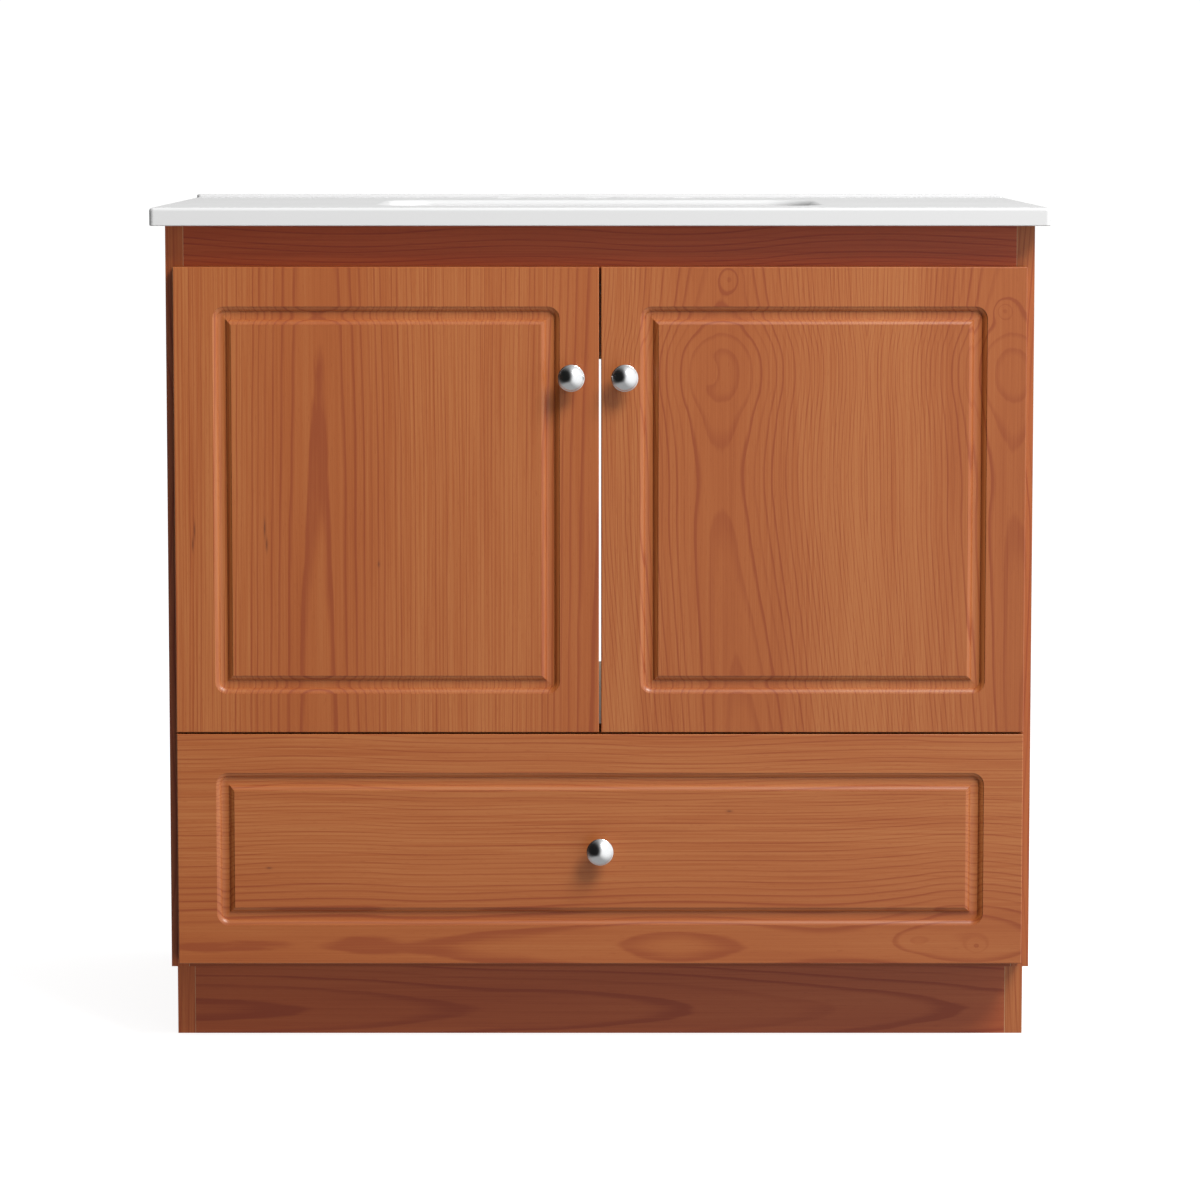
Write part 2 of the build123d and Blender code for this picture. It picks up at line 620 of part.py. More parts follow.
# Three-part ball-bearing slides: each member nests in the one outside it.
slide_y = (case_front_y + slide_setback, case_front_y + slide_setback + slide_length)
middle_y = (slide_y[0] + middle_start, slide_y[1] - middle_short)
slide_screw_stations = [slide_y[0] + offset for offset in slide_screw_offsets]
for side, name in sides:
    with BuildPart() as slide_cabinet:
        channel(side, inner_x, inner_x - outer_lip, outer_half, slide_y)
        for y in slide_screw_stations:
            rod((side * inner_x, y, slide_z), (-side, 0, 0), screw_radius, sheet, mode=Mode.SUBTRACT)
    slide_cabinet.part.label = f"slide_cabinet_{name}"
    export_step(slide_cabinet.part, f"parts/slide_cabinet_{name}.step")

    with BuildPart() as slide_middle:
        channel(side, inner_x - middle_web, inner_x - middle_lip, middle_half, middle_y)
    slide_middle.part.label = f"slide_middle_{name}"
    export_step(slide_middle.part, f"parts/slide_middle_{name}.step")

    with BuildPart() as slide_drawer:
        channel(side, box_x, box_x + inner_lip, inner_half, (box_front_y + inner_start, slide_y[1]))
        for y in slide_screw_stations:
            rod((side * box_x, y, slide_z), (side, 0, 0), screw_radius, sheet, mode=Mode.SUBTRACT)
    slide_drawer.part.label = f"slide_drawer_{name}"
    export_step(slide_drawer.part, f"parts/slide_drawer_{name}.step")

with BuildPart() as slide_cabinet_screws:
    for side, _ in sides:
        for y in slide_screw_stations:
            screw((side * (inner_x - sheet), y, slide_z), (side, 0, 0), sheet, head=small_screw_head)
slide_cabinet_screws.part.label = "slide_cabinet_screws"
export_step(slide_cabinet_screws.part, "parts/slide_cabinet_screws.step")

with BuildPart() as slide_drawer_screws:
    for side, _ in sides:
        for y in slide_screw_stations:
            screw((side * (box_x + sheet), y, slide_z), (-side, 0, 0), sheet, head=small_screw_head)
slide_drawer_screws.part.label = "slide_drawer_screws"
export_step(slide_drawer_screws.part, "parts/slide_drawer_screws.step")
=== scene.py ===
"""A bathroom vanity cabinet: finishes, fine hardware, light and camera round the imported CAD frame."""

import math

import bmesh
import bpy
from mathutils import Matrix, Vector


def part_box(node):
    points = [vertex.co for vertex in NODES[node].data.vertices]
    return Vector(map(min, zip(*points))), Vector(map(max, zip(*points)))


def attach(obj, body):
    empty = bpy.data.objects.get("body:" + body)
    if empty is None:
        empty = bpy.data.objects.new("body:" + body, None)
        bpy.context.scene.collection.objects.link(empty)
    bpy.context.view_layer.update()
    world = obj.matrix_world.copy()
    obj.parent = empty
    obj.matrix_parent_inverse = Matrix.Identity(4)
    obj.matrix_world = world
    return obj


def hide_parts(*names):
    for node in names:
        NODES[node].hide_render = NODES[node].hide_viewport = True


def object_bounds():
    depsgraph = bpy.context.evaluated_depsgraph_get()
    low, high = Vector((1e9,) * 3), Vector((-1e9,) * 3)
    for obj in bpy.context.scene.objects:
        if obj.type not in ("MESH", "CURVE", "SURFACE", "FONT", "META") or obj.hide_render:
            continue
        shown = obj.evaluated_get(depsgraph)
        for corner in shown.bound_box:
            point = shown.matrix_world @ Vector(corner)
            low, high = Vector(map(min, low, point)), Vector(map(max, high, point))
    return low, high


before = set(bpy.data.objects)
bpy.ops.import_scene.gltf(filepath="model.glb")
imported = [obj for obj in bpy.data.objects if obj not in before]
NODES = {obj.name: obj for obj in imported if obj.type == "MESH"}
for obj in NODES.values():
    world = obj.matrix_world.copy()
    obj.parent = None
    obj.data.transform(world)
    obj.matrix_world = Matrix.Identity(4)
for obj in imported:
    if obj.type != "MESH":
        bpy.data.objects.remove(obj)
CAD_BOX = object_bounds()

bl_info = {
    "name": "Bathroom vanity cabinet",
    "version": (1, 0, 0),
    "blender": (4, 5, 0),
    "location": "View3D > Sidebar > Vanity",
    "description": "Cherry fronts, glazed top and metal fittings for a bathroom vanity cabinet",
    "category": "Object",
}

MM = 0.001
SIDES = ("left", "right")
KNOBS = {"knob_left": "door_left", "knob_right": "door_right", "knob_drawer": "drawer"}
HINGE_PARTS = ("hinge_plates", "hinge_arms", "hinge_cups")
SLIDE_MEMBERS = ("slide_cabinet", "slide_middle", "slide_drawer")
WHITE = (1.0, 1.0, 1.0, 1.0)


# ---------------------------------------------------------------- nodes

class Wire:
    """A socket on its way through a finish. Arithmetic on it adds the Math nodes that work it out."""

    def __init__(self, finish, socket):
        self.finish = finish
        self.socket = socket

    def output(self, name):
        """Another output of the same node."""
        return Wire(self.finish, self.socket.node.outputs[name])

    def maths(self, operation, *values):
        return self.finish.node("ShaderNodeMath", {"operation": operation}, dict(enumerate(values)))

    def __add__(self, other):
        return self.maths("ADD", self, other)

    __radd__ = __add__

    def __sub__(self, other):
        return self.maths("SUBTRACT", self, other)

    def __rsub__(self, other):
        return self.maths("SUBTRACT", other, self)

    def __mul__(self, other):
        return self.maths("MULTIPLY", self, other)

    __rmul__ = __mul__

    def __truediv__(self, other):
        return self.maths("DIVIDE", self, other)

    def __rtruediv__(self, other):
        return self.maths("DIVIDE", other, self)

    def __pow__(self, other):
        return self.maths("POWER", self, other)

    def __rpow__(self, other):
        return self.maths("POWER", other, self)

    def __abs__(self):
        return self.maths("ABSOLUTE", self)


class Finish:
    """A material, built up node by node."""

    def __init__(self, name, tree=None):
        if tree is None:
            self.material = bpy.data.materials.new(name)
            self.material.use_nodes = True
            tree = self.material.node_tree
        self.tree = tree
        self.tree.nodes.clear()

    def node(self, kind, settings=None, inputs=None, output=0):
        """Adds one node: first its settings, then the values or links of its sockets."""
        made = self.tree.nodes.new(kind)
        for key, value in (settings or {}).items():
            if key == "stops":
                self.set_stops(made.color_ramp, value)
            elif key == "curve":
                self.set_curve(made.mapping, value)
            else:
                setattr(made, key, value)
        for key, value in (inputs or {}).items():
            if isinstance(value, Wire):
                self.tree.links.new(value.socket, made.inputs[key])
            else:
                made.inputs[key].default_value = value
        return Wire(self, made.outputs[output]) if made.outputs else made

    @staticmethod
    def set_stops(ramp, stops):
        while len(ramp.elements) < len(stops):
            ramp.elements.new(0.5)
        for element, (position, colour) in zip(ramp.elements, stops):
            element.position = position
            element.color = (*colour[:3], 1.0)

    @staticmethod
    def set_curve(mapping, points):
        mapping.use_clip = False
        curve = mapping.curves[0]
        while len(curve.points) < len(points):
            curve.points.new(0.5, 0.5)
        for point, place in zip(curve.points, points):
            point.location = place
        mapping.update()

    def board_space(self, axes=(0, 1, 2)):
        """The row frame in millimetres, as one vector whose parts are along, across and through a board."""
        place = self.node("ShaderNodeTexCoord", output="Object")
        split = self.node("ShaderNodeSeparateXYZ", inputs={0: place})
        parts = [split.output("XYZ"[axis]) / MM for axis in axes]
        return parts, self.node("ShaderNodeCombineXYZ", inputs=dict(enumerate(parts)))

    def noise(self, space, lengths, detail=2.0, seed=0.0, roughness=0.5):
        """Noise from 0 to 1 with features of these lengths in millimetres."""
        scales = [1.0 / length for length in lengths]
        scaled = self.node("ShaderNodeVectorMath", {"operation": "MULTIPLY_ADD"},
                           {0: space, 1: scales, 2: (seed, 1.7 * seed, 0.6 * seed)})
        return self.node("ShaderNodeTexNoise", {"noise_dimensions": "3D"},
                         {"Vector": scaled, "Scale": 1.0, "Detail": detail, "Roughness": roughness})

    def ramp(self, value, low, high):
        """0 below low, 1 above high, and a soft step between."""
        return self.node("ShaderNodeMapRange", {"interpolation_type": "SMOOTHSTEP"},
                         {"Value": value, "From Min": low, "From Max": high})

    def blend(self, factor, first, second):
        """One colour turning into another. A Mix node takes its colours in sockets 6 and 7."""
        colours = {key: colour if isinstance(colour, Wire) else (*colour[:3], 1.0)
                   for key, colour in ((6, first), (7, second))}
        return self.node("ShaderNodeMix", {"data_type": "RGBA"}, {0: factor, **colours}, output=2)

    def bump(self, height, distance, strength):
        """A normal bent by a height from 0 to 1 that stands this many millimetres proud."""
        return self.node("ShaderNodeBump",
                         inputs={"Height": height, "Distance": distance * MM, "Strength": strength})

    def surface(self, **sockets):
        """Ends the material in one principled shader."""
        shader = self.node("ShaderNodeBsdfPrincipled",
                           inputs={key.replace("_", " "): value for key, value in sockets.items()})
        self.node("ShaderNodeOutputMaterial", inputs={"Surface": shader})
        return self.material


def paint(names, material):
    """Gives CAD nodes their finish."""
    for name in names:
        slots = NODES[name].material_slots
        for place in slots:
            place.material = material
        if not slots:
            NODES[name].data.materials.append(material)


def colour(default, name, description):
    return bpy.props.FloatVectorProperty(name=name, description=description, default=default,
                                         size=3, min=0.0, max=1.0, subtype="COLOR")


def factor(default, name, description):
    return bpy.props.FloatProperty(name=name, description=description, default=default,
                                   min=0.0, max=1.0, subtype="FACTOR")


def length(default, name, description):
    return bpy.props.FloatProperty(name=name, description=description, default=default,
                                   min=0.0, subtype="DISTANCE", unit="LENGTH")


# ---------------------------------------------------------------- settings

class VanityCherry(bpy.types.PropertyGroup):
    earlywood: colour((0.455, 0.152, 0.043), "Earlywood", "Colour between the growth rings")
    heartwood: colour((0.392, 0.106, 0.025), "Heartwood", "Middle colour of the stained cherry")
    latewood: colour((0.300, 0.062, 0.012), "Latewood", "Colour of the dark line that ends each ring")
    gum: colour((0.130, 0.030, 0.010), "Gum", "Colour of the short gum flecks")
    ring: length(0.0037, "Ring width", "Usual width of a growth ring")
    lacquer: factor(0.32, "Lacquer roughness", "Roughness of the satin lacquer")


class VanityInside(bpy.types.PropertyGroup):
    maple: colour((0.640, 0.440, 0.255), "Maple", "Colour of the maple panels inside")
    maple_line: colour((0.480, 0.300, 0.155), "Maple grain", "Colour of the maple's grain")


class VanityTop(bpy.types.PropertyGroup):
    glaze: colour((0.720, 0.720, 0.720), "Glaze", "Colour of the cast top and basin")
    polish: factor(0.22, "Glaze roughness", "Roughness of the top's gloss")


class VanityKnobs(bpy.types.PropertyGroup):
    chrome: colour((0.780, 0.790, 0.800), "Chrome", "Tint of the polished knobs")
    foot: length(0.0074, "Foot", "Radius of a knob's foot")


class VanityHinges(bpy.types.PropertyGroup):
    nickel: colour((0.620, 0.600, 0.560), "Nickel", "Tint of the hinges")


class VanitySlides(bpy.types.PropertyGroup):
    zinc: colour((0.560, 0.580, 0.600), "Zinc", "Tint of the slides")
    ball: length(0.0032, "Ball", "Diameter of the balls in the drawer slides")
    pitch: length(0.012, "Pitch", "From one ball to the next")


class VanityFixings(bpy.types.PropertyGroup):
    zinc: colour((0.560, 0.580, 0.600), "Zinc", "Tint of the screws")
    bumper: colour((0.900, 0.890, 0.840), "Bumper", "Colour of the clear bumpers")


class VanityStudio(bpy.types.PropertyGroup):
    camera_distance: length(4.5, "Camera distance", "From the top's front edge to the camera")
    camera_height: length(0.10, "Camera height", "Height of the camera above the top")
    key_power: bpy.props.FloatProperty(name="Key light", description="Power of the large soft lamp",
                                       default=214.0, min=0.0, subtype="POWER", unit="POWER")
    ambient: bpy.props.FloatProperty(name="Ambient", description="Brightness of the light from all round",
                                     default=0.41, min=0.0)


# ---------------------------------------------------------------- wood

class Board:
    """How one board was cut and what shows on its face. Places are in millimetres.

    axes    row-frame axes along, across and through the board
    span    where the pith curves start and end along the board
    heart   where the pith lies across the board; the veneer repeats its figure every REPEAT from there
    face    the show face, through the board
    pith    the pith's depth behind the face, evenly spread over the span
    lean    how far the pith strays across the board, spread the same way
    knots   round swellings of the rings: (along, across, reach along, reach across, height)
    flecks  gum flecks: (along, across, half length)
    stain_and_shade  how much deeper or lighter this board's colour is, in red, green and blue; on the left
    side, the top rail and the toe board it is painted shade where the lamp's light doesn't reach
    lined   where its maple-lined inner face stands, through the board, or 0 for none
    """

    def __init__(self, axes, span, heart, face, pith, lean=(50, 50), knots=(), flecks=(),
                 seed=1.0, stain_and_shade=(1, 1, 1), lined=0.0):
        self.axes, self.span, self.heart, self.face, self.pith = axes, span, heart, face, pith
        self.lean, self.knots, self.flecks, self.seed, self.stain_and_shade = lean, knots, flecks, seed, stain_and_shade
        self.lined = lined


# Row-frame axes along, across and through a board
UPRIGHT = (2, 0, 1)
LEVEL = (0, 2, 1)
SIDEWAYS = (2, 1, 0)
STRAIGHT = (0, 1, 2)
FRONT_TO_BACK = (1, 0, 2)

REPEAT = 307.0                # across the veneer, from one heart to the next, in millimetres
CURVE_RANGE = 100.0           # full height of a pith or lean curve
LEAN_MIDDLE = 50.0            # the lean that leaves the pith on its heart line
HEART_SWAY = 8.0              # how far the heart line wanders
RING_RIPPLE = 1.3             # how far a ring strays from round
PITH_WANDER = 2.0             # how far the pith's depth strays
FIRST_RING = 3.2              # width of the rings at the pith, in ring widths
RING_CROWD = 10.3             # how soon the rings crowd together outward, in ring widths
RING_START = 0.39             # part of a ring that is already over at the pith
LATE_GROWS = (0.58, 0.88)     # where in a ring the dark latewood starts and is full
LATE_FADES = (0.90, 1.0)      # where in a ring it fades and is over
VIGOUR_STEP = 0.71            # keeps neighbouring rings' vigour apart
VIGOUR_EDGE = (0.30, 0.65)    # the vigour of a weak ring and of a strong one
FAINTEST = 0.35               # how dark the weakest ring's latewood is
QUARTERED = (20.0, 120.0)     # from the heart, where flat-sawn figure turns to straight grain
MIDDLE_TONE = 0.52
STRAIGHT_LIGHTER = 0.26       # how much lighter the straight grain is
LATE_DARKER = 0.60            # how much darker latewood is
BAND_SHARE, FIBRE_SHARE = 0.7, 0.9
STRAIGHT_FIBRE = 1.3          # how much more the fibres show in straight grain
PORE_EDGE, PORE_DEPTH = (0.64, 0.74), 0.35
FLECK_WIDTH, FLECK_WANDER, FLECK_DEPTH = 1.1, 1.6, 0.75
LINING_EDGE = (0.2, 0.5)      # over which stained wood turns to maple, in millimetres
BAND_FACE = -234.9            # front edges of the maple boards, in row-frame millimetres


def curve_along(finish, along, span, values):
    """A smooth curve through values evenly spread over a span of the board, in millimetres."""
    start, end = span
    position = (along - start) / (end - start)
    points = [(i / (len(values) - 1), value / CURVE_RANGE) for i, value in enumerate(values)]
    return CURVE_RANGE * finish.node("ShaderNodeFloatCurve", {"curve": points}, {"Value": position})


def hill(along, across, place, reach):
    """A round hill, 1 high, at a place on the board's face."""
    run, aside = (along - place[0]) / reach[0], (across - place[1]) / reach[1]
    return math.e ** (-1.0 * (run * run + aside * aside))


# Scales a tone by a board's colour factor; on the left side, the top rail and the toe board this darkening is
# painted shade.
def tinted(tone, stain_and_shade):
    return [part * share for part, share in zip(tone, stain_and_shade)]


def cherry(name, board, tones, lining):
    """Stained cherry: growth rings round a pith that wanders behind the face, with fibres, pores and gum."""
    finish = Finish(name)
    (along, across, depth), space = finish.board_space(board.axes)
    seed = board.seed

    sway = (finish.noise(space, (330, 120, 120), 1.0, seed) - 0.5) * HEART_SWAY
    ripple = (finish.noise(space, (70, 9, 9), 2.0, seed + 3) - 0.5) * RING_RIPPLE
    lean = curve_along(finish, along, board.span, board.lean)
    strayed = across - board.heart - lean + LEAN_MIDDLE + sway
    aside = strayed.maths("PINGPONG", strayed, REPEAT / 2)
    behind = curve_along(finish, along, board.span, board.pith) + abs(depth - board.face)
    behind = behind + (finish.noise(space, (190, 40, 40), 1.0, seed + 5) - 0.5) * PITH_WANDER
    radius = (aside * aside + behind * behind) ** 0.5 + ripple
    for knot_along, knot_across, reach_along, reach_across, height in board.knots:
        swelling = hill(along, across, (knot_along, knot_across), (reach_along, reach_across))
        radius = radius - height * swelling

    growth = radius / (tones.ring / MM)
    rings = growth / FIRST_RING + (growth / RING_CROWD) ** 2.0 + RING_START
    phase = rings.maths("FRACT", rings)
    late = finish.ramp(phase, *LATE_GROWS) * (1.0 - finish.ramp(phase, *LATE_FADES))
    vigour = finish.node("ShaderNodeTexNoise", {"noise_dimensions": "1D"},
                         {"W": rings.maths("FLOOR", rings) * VIGOUR_STEP + seed, "Scale": 1.0, "Detail": 0.0})
    late = late * (FAINTEST + (1.0 - FAINTEST) * finish.ramp(vigour, *VIGOUR_EDGE))

    straight = finish.ramp(aside, *QUARTERED)
    band = finish.noise(space, (500, 34, 34), 2.0, seed + 7)
    fibre = finish.noise(space, (240, 1.7, 1.7), 3.0, seed + 11, 0.75)
    pore = finish.noise(space, (11, 0.8, 0.8), 1.0, seed + 13)
    tone = MIDDLE_TONE + STRAIGHT_LIGHTER * straight + (band - 0.5) * BAND_SHARE
    tone = tone + (fibre - 0.5) * (FIBRE_SHARE + STRAIGHT_FIBRE * straight) - late * LATE_DARKER
    wood = finish.node("ShaderNodeValToRGB", {"stops": [
        (0.0, tinted(tones.latewood, board.stain_and_shade)),
        (0.5, tinted(tones.heartwood, board.stain_and_shade)),
        (1.0, tinted(tones.earlywood, board.stain_and_shade))]}, {"Fac": tone})
    specks = finish.ramp(pore, *PORE_EDGE) * PORE_DEPTH
    wood = finish.blend(specks, wood, tinted(tones.latewood, board.stain_and_shade))
    for fleck_along, fleck_across, half in board.flecks:
        wander = across + (fibre - 0.5) * FLECK_WANDER
        mark = hill(along, wander, (fleck_along, fleck_across), (half, FLECK_WIDTH))
        wood = finish.blend(mark * FLECK_DEPTH, wood, tones.gum)

    if board.lined:
        starts, ends = (board.lined + edge for edge in LINING_EDGE)
        inside = 1.0 - finish.ramp(abs(depth), starts, ends)
        wood = finish.blend(inside, wood, finish.blend(tone, lining.maple_line, lining.maple))
    relief = fibre * 0.5 + late * 0.3 - specks
    return finish.surface(Base_Color=wood, Roughness=tones.lacquer + 0.10 * late + 0.08 * fibre,
                          Normal=finish.bump(relief, 0.05, 0.35), Specular_IOR_Level=0.55)


DOOR_SPAN = (341.0, 833.0)
DRAWER_SPAN = (-448.0, 448.0)
CASE_SPAN = (0.0, 880.0)
FRONT_BOARDS = {
    "door_left": Board(UPRIGHT, DOOR_SPAN, -297.0, -255.9, (56.3, 57.2, 58.3, 59.2, 60.2, 61.6),
                       flecks=((556, -427, 9), (541, -429, 7), (558, -353, 10), (541, -351, 7),
                               (520, -233, 3)),
                       seed=2.3, stain_and_shade=(1.0, 0.98, 0.95)),
    "door_right": Board(UPRIGHT, DOOR_SPAN, 127.0, -255.9,
                        (51, 53, 55.2, 57.3, 59.2, 61.3, 57.5, 50.5, 63.5, 69),
                        lean=(75, 69, 63, 57, 52, 50, 50, 50, 50, 50),
                        knots=((722, 118, 12, 7, -6.0), (820, 136, 12, 10, 9.0), (787, 424, 9, 9, 12.0)),
                        seed=7.9),
    "drawer_front": Board(LEVEL, DRAWER_SPAN, 112.0, -255.9,
                          (66, 66, 66, 65, 65, 64, 63, 61, 58, 59, 62, 63, 60, 54, 58),
                          lean=(50, 51, 53, 52, 50, 50, 51, 51, 50, 50, 51, 53, 56, 58, 56),
                          knots=((400, 112, 9, 7, 8.0), (335, 118, 16, 9, 6.0)),
                          flecks=((-351, 196, 3), (137, 257, 3)), seed=12.4),
}
CASE_BOARDS = {
    # The top rail's darker, redder colour is painted shade: the shadow under the top's overhang.
    "front_top_rail": Board(LEVEL, DRAWER_SPAN, 930.0, -234.9, (70, 60, 66, 58, 72, 64), seed=17.2,
                            stain_and_shade=(1.00, 0.55, 0.38)),
    # The toe board's darker colour is painted shade: the shade in its recess under the cabinet.
    "toe_kick": Board(LEVEL, DRAWER_SPAN, 26.0, -171.4, (38, 40, 43, 47, 49, 52, 56, 60, 64, 68), seed=21.5,
                      stain_and_shade=(0.97, 0.72, 0.69)),
    # The left side's colour, darker than the right side's, is painted shade: that side faces away from the
    # lamp.
    "side_panel_left": Board(SIDEWAYS, CASE_SPAN, -20.0, -457.2, (60, 58, 52, 57, 61, 56, 51, 60, 64),
                             seed=26.1, stain_and_shade=(1.04, 0.80, 0.70), lined=438.2),
    "side_panel_right": Board(SIDEWAYS, CASE_SPAN, 60.0, 457.2, (62, 56, 51, 55, 60, 62, 54, 58, 66),
                              seed=31.7, lined=438.2),
}


def maple(name, axes, tones, band, seed):
    """Pale maple panel with a fine, even grain, and a strip of stained band on its front edge."""
    finish = Finish(name)
    _, space = finish.board_space(axes)
    cloud = finish.noise(space, (260, 45, 45), 2.0, seed)
    line = finish.noise(space, (140, 2.2, 2.2), 3.0, seed + 4, 0.6)
    fleck = finish.ramp(finish.noise(space, (9, 0.8, 0.8), 1.0, seed + 8), 0.66, 0.72)
    tone = (cloud - 0.5) * 0.8 + (line - 0.5) * 1.1 + 0.45
    wood = finish.blend(tone, tones.maple_line, tones.maple)
    wood = finish.blend(fleck * 0.25, wood, tones.maple_line)
    _, front = finish.board_space()
    ahead = finish.node("ShaderNodeSeparateXYZ", inputs={0: front}).output("Y")
    starts, ends = (BAND_FACE + edge for edge in LINING_EDGE)
    banded = 1.0 - finish.ramp(ahead, starts, ends)
    wood = finish.blend(banded, wood, band)
    return finish.surface(Base_Color=wood, Roughness=0.42 + 0.1 * line, Normal=finish.bump(line, 0.03, 0.3))


MAPLE_ALONG_X = ("back_top_rail", "deck_panel", "bottom_panel", "lower_back_panel", "rear_plinth",
                 "drawer_box_front", "drawer_box_back", "drawer_bottom", "corner_braces")
MAPLE_ALONG_Y = ("plinth_rib", "drawer_side_left", "drawer_side_right")


# ---------------------------------------------------------------- other finishes

YELLOWED = (0.80, 0.78, 0.70)


def dimmed(tint, share):
    return [part * share for part in tint]


def glazed(tones):
    """Cast, glossy white with a faint cloudiness in its gloss."""
    finish = Finish("white_glaze")
    _, space = finish.board_space()
    cloud = finish.noise(space, (120, 120, 120), 2.0, 3.0)
    tint = finish.blend(cloud, dimmed(tones.glaze, 0.985), tones.glaze)
    ripple = finish.noise(space, (26, 26, 26), 1.0, 9.0)
    return finish.surface(Base_Color=tint, Roughness=tones.polish + 0.05 * cloud,
                          Normal=finish.bump(ripple, 0.02, 0.25), Specular_IOR_Level=0.30)


def polished(tones):
    """Bright chrome with faint handling marks."""
    finish = Finish("polished_knob")
    _, space = finish.board_space()
    haze = finish.noise(space, (3.0, 3.0, 3.0), 3.0, 5.0)
    tint = finish.blend(haze, dimmed(tones.chrome, 0.96), tones.chrome)
    return finish.surface(Base_Color=tint, Metallic=1.0, Roughness=0.13 + 0.08 * haze)


def plated(name, tint, stretch, roughness):
    """Pressed and plated steel, with rolling lines along one axis and a cloudy plate."""
    finish = Finish(name)
    _, space = finish.board_space()
    cloud = finish.noise(space, (14, 14, 14), 3.0, 2.0)
    line = finish.noise(space, stretch, 2.0, 6.0, 0.6)
    metal = finish.blend(cloud * 0.6 + line * 0.4, dimmed(tint, 0.82), tint)
    return finish.surface(Base_Color=metal, Metallic=1.0, Roughness=roughness + 0.18 * line,
                          Normal=finish.bump(line, 0.01, 0.3))


def rubbery(tint):
    """Clear soft bumper, hazed and yellowed in patches."""
    finish = Finish("clear_bumper")
    _, space = finish.board_space()
    haze = finish.noise(space, (1.5, 1.5, 1.5), 2.0, 4.0)
    hazed = finish.blend(haze, YELLOWED, tint)
    return finish.surface(Base_Color=hazed, Roughness=0.22 + 0.2 * haze,
                          Transmission_Weight=0.55, IOR=1.45)


# ---------------------------------------------------------------- meshes

def piece(name, mesh, material, body, slot, *replaced):
    """Adds a finished mesh as a piece that rides on a body."""
    made = bpy.data.objects.new(name, mesh)
    bpy.context.scene.collection.objects.link(made)
    mesh.materials.append(material)
    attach(made, body)
    if replaced:
        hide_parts(*replaced)


def arc(start, middle, end, steps):
    """Points on the circle through three points, from after start to end."""
    (ax, ay), (bx, by), (cx, cy) = start, middle, end
    twice_area = 2.0 * (ax * (by - cy) + bx * (cy - ay) + cx * (ay - by))
    a2, b2, c2 = ax * ax + ay * ay, bx * bx + by * by, cx * cx + cy * cy
    centre_x = (a2 * (by - cy) + b2 * (cy - ay) + c2 * (ay - by)) / twice_area
    centre_y = (a2 * (cx - bx) + b2 * (ax - cx) + c2 * (bx - ax)) / twice_area
    size = math.hypot(ax - centre_x, ay - centre_y)
    angles = [math.atan2(y - centre_y, x - centre_x) for x, y in (start, middle, end)]
    for i in (1, 2):
        while angles[i] - angles[i - 1] > math.pi:
            angles[i] -= 2.0 * math.pi
        while angles[i] - angles[i - 1] < -math.pi:
            angles[i] += 2.0 * math.pi
    turns = [angles[0] + (angles[2] - angles[0]) * i / steps for i in range(1, steps + 1)]
    return [(centre_x + size * math.cos(turn), centre_y + size * math.sin(turn)) for turn in turns]


def finished(build, name, rounded=True):
    """Turns a bmesh into a mesh, smooth where the shape is round."""
    mesh = bpy.data.meshes.new(name)
    build.to_mesh(mesh)
    build.free()
    for face in mesh.polygons:
        face.use_smooth = rounded
    return mesh


def turned(outline, centre, steps=96):
    """A solid turned round a line along Y through centre. The outline's points are radius and distance in
    front of the centre, in millimetres."""
    build = bmesh.new()
    rings = []
    for radius, ahead in outline:
        ring = []
        for i in range(steps if radius > 0.0 else 1):
            turn = 2.0 * math.pi * i / steps
            ring.append(build.verts.new((centre[0] + radius * MM * math.cos(turn), centre[1] - ahead * MM,
                                         centre[2] + radius * MM * math.sin(turn))))
        rings.append(ring)
    for inner, outer in zip(rings, rings[1:]):
        for i in range(steps):
            corners = [inner[i % len(inner)], inner[(i + 1) % len(inner)],
                       outer[(i + 1) % len(outer)], outer[i % len(outer)]]
            build.faces.new(list(dict.fromkeys(corners)))
    bmesh.ops.recalc_face_normals(build, faces=build.faces)
    return finished(build, "turned")


def knob_outline(foot, rim, reach):
    """A mushroom knob: a round foot, a waisted neck, a rolled rim and a low crown."""
    crown, rim_land, rim_turn, roll = 7.4, 0.9, 0.7, 0.55
    crown_foot = reach - crown
    rim_front = crown_foot - rim_land
    rim_back = rim_front - rim_turn
    points = [(0.0, 0.0)] + arc((foot - 0.5, 0.0), (foot - 0.15, 0.15), (foot, 0.5), 5)
    points += arc((foot, 1.0), (0.38 * rim, 0.25 * reach), (0.46 * rim, 0.46 * reach), 18)
    points += arc(points[-1], (0.68 * rim, 0.54 * reach), (0.90 * rim, 0.60 * reach), 12)
    points += arc(points[-1], (rim - 0.15, rim_back - 0.2), (rim, rim_front), 8)
    points += arc(points[-1], (rim - 0.12, crown_foot - 0.35), (rim - roll, crown_foot), 6)
    steps = 32
    for i in range(1, steps + 1):
        share = 1.0 - i / steps
        points.append(((rim - roll) * share, reach - crown * share * share))
    return points


def balls(places, radius):
    """Many small balls in one mesh."""
    build = bmesh.new()
    for place in places:
        bmesh.ops.create_uvsphere(build, u_segments=16, v_segments=10, radius=radius,
                                  matrix=Matrix.Translation(place))
    return finished(build, "balls")


def retainer(x, places_z, y_span):
    """Two pressed strips that hold a slide's balls apart, one by each flange."""
    width, thickness, edge = 2.5 * MM, 0.8 * MM, 0.15 * MM
    size = Vector((thickness, y_span[1] - y_span[0], width))
    build = bmesh.new()
    for z in places_z:
        centre = Vector((x, (y_span[0] + y_span[1]) / 2, z))
        place = Matrix.Translation(centre) @ Matrix.Diagonal((*size, 1.0))
        bmesh.ops.create_cube(build, size=1.0, matrix=place)
    bmesh.ops.bevel(build, geom=list(build.edges), offset=edge, segments=2, affect="EDGES")
    return finished(build, "retainer", rounded=False)


# ---------------------------------------------------------------- operators

